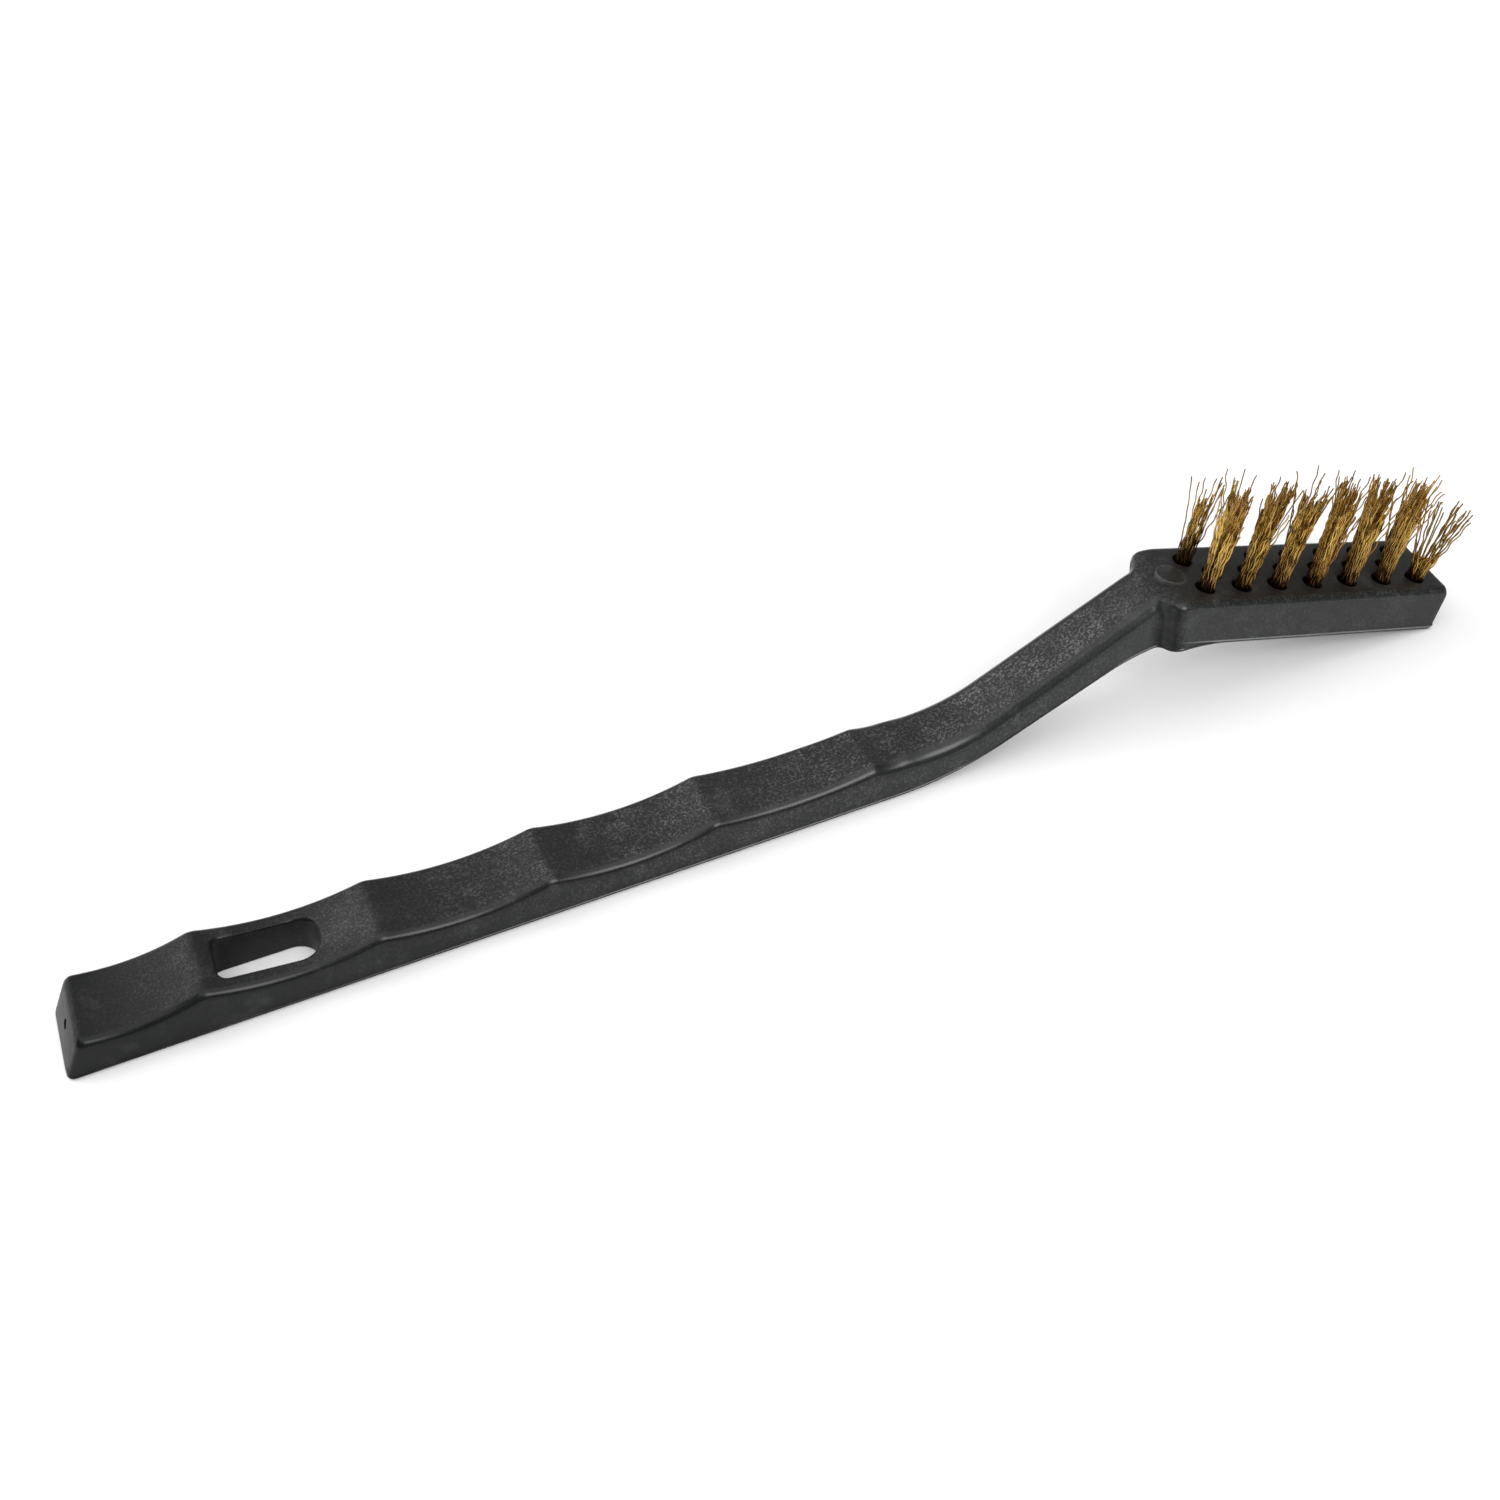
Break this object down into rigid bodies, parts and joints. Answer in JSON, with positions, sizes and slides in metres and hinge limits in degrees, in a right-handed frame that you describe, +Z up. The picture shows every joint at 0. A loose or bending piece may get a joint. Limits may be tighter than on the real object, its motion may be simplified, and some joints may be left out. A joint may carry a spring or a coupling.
{
  "type": "brass wire brush",
  "caption": "Small hand brush: moulded handle with finger hollows and a hanging slot, and an angled head set with rows of crimped brass wire tufts.",
  "frame": {"origin": "middle of the flat underside of the handle, on the surface that the brush lies on", "axes": "+X from the hanging end to the head, +Z up out of the bristle side, Y=0 the plane that the two sides share"},
  "size_m": [0.1839, 0.0138, 0.0309],
  "materials": {
    "black_polypropylene": "spark-eroded matt moulding, worn slightly smooth on the edges",
    "brass_wire": "crimped brass wire, slightly tarnished",
    "anchor_brass": "flat brass anchor wire, cut clean"
  },
  "bodies": {
    "root": {"handle": "black_polypropylene", "tuft_front_1": "brass_wire", "tuft_front_2": "brass_wire", "tuft_front_3": "brass_wire", "tuft_front_4": "brass_wire", "tuft_front_5": "brass_wire", "tuft_front_6": "brass_wire", "tuft_front_7": "brass_wire", "tuft_middle_1": "brass_wire", "tuft_middle_2": "brass_wire", "tuft_middle_3": "brass_wire", "tuft_middle_4": "brass_wire", "tuft_middle_5": "brass_wire", "tuft_middle_6": "brass_wire", "tuft_rear_1": "brass_wire", "tuft_rear_2": "brass_wire", "tuft_rear_3": "brass_wire", "tuft_rear_4": "brass_wire", "tuft_rear_5": "brass_wire", "tuft_rear_6": "brass_wire", "tuft_rear_7": "brass_wire", "anchor_front_1": "anchor_brass", "anchor_front_2": "anchor_brass", "anchor_front_3": "anchor_brass", "anchor_front_4": "anchor_brass", "anchor_front_5": "anchor_brass", "anchor_front_6": "anchor_brass", "anchor_front_7": "anchor_brass", "anchor_middle_1": "anchor_brass", "anchor_middle_2": "anchor_brass", "anchor_middle_3": "anchor_brass", "anchor_middle_4": "anchor_brass", "anchor_middle_5": "anchor_brass", "anchor_middle_6": "anchor_brass", "anchor_rear_1": "anchor_brass", "anchor_rear_2": "anchor_brass", "anchor_rear_3": "anchor_brass", "anchor_rear_4": "anchor_brass", "anchor_rear_5": "anchor_brass", "anchor_rear_6": "anchor_brass", "anchor_rear_7": "anchor_brass"}
  },
  "joints": []
}
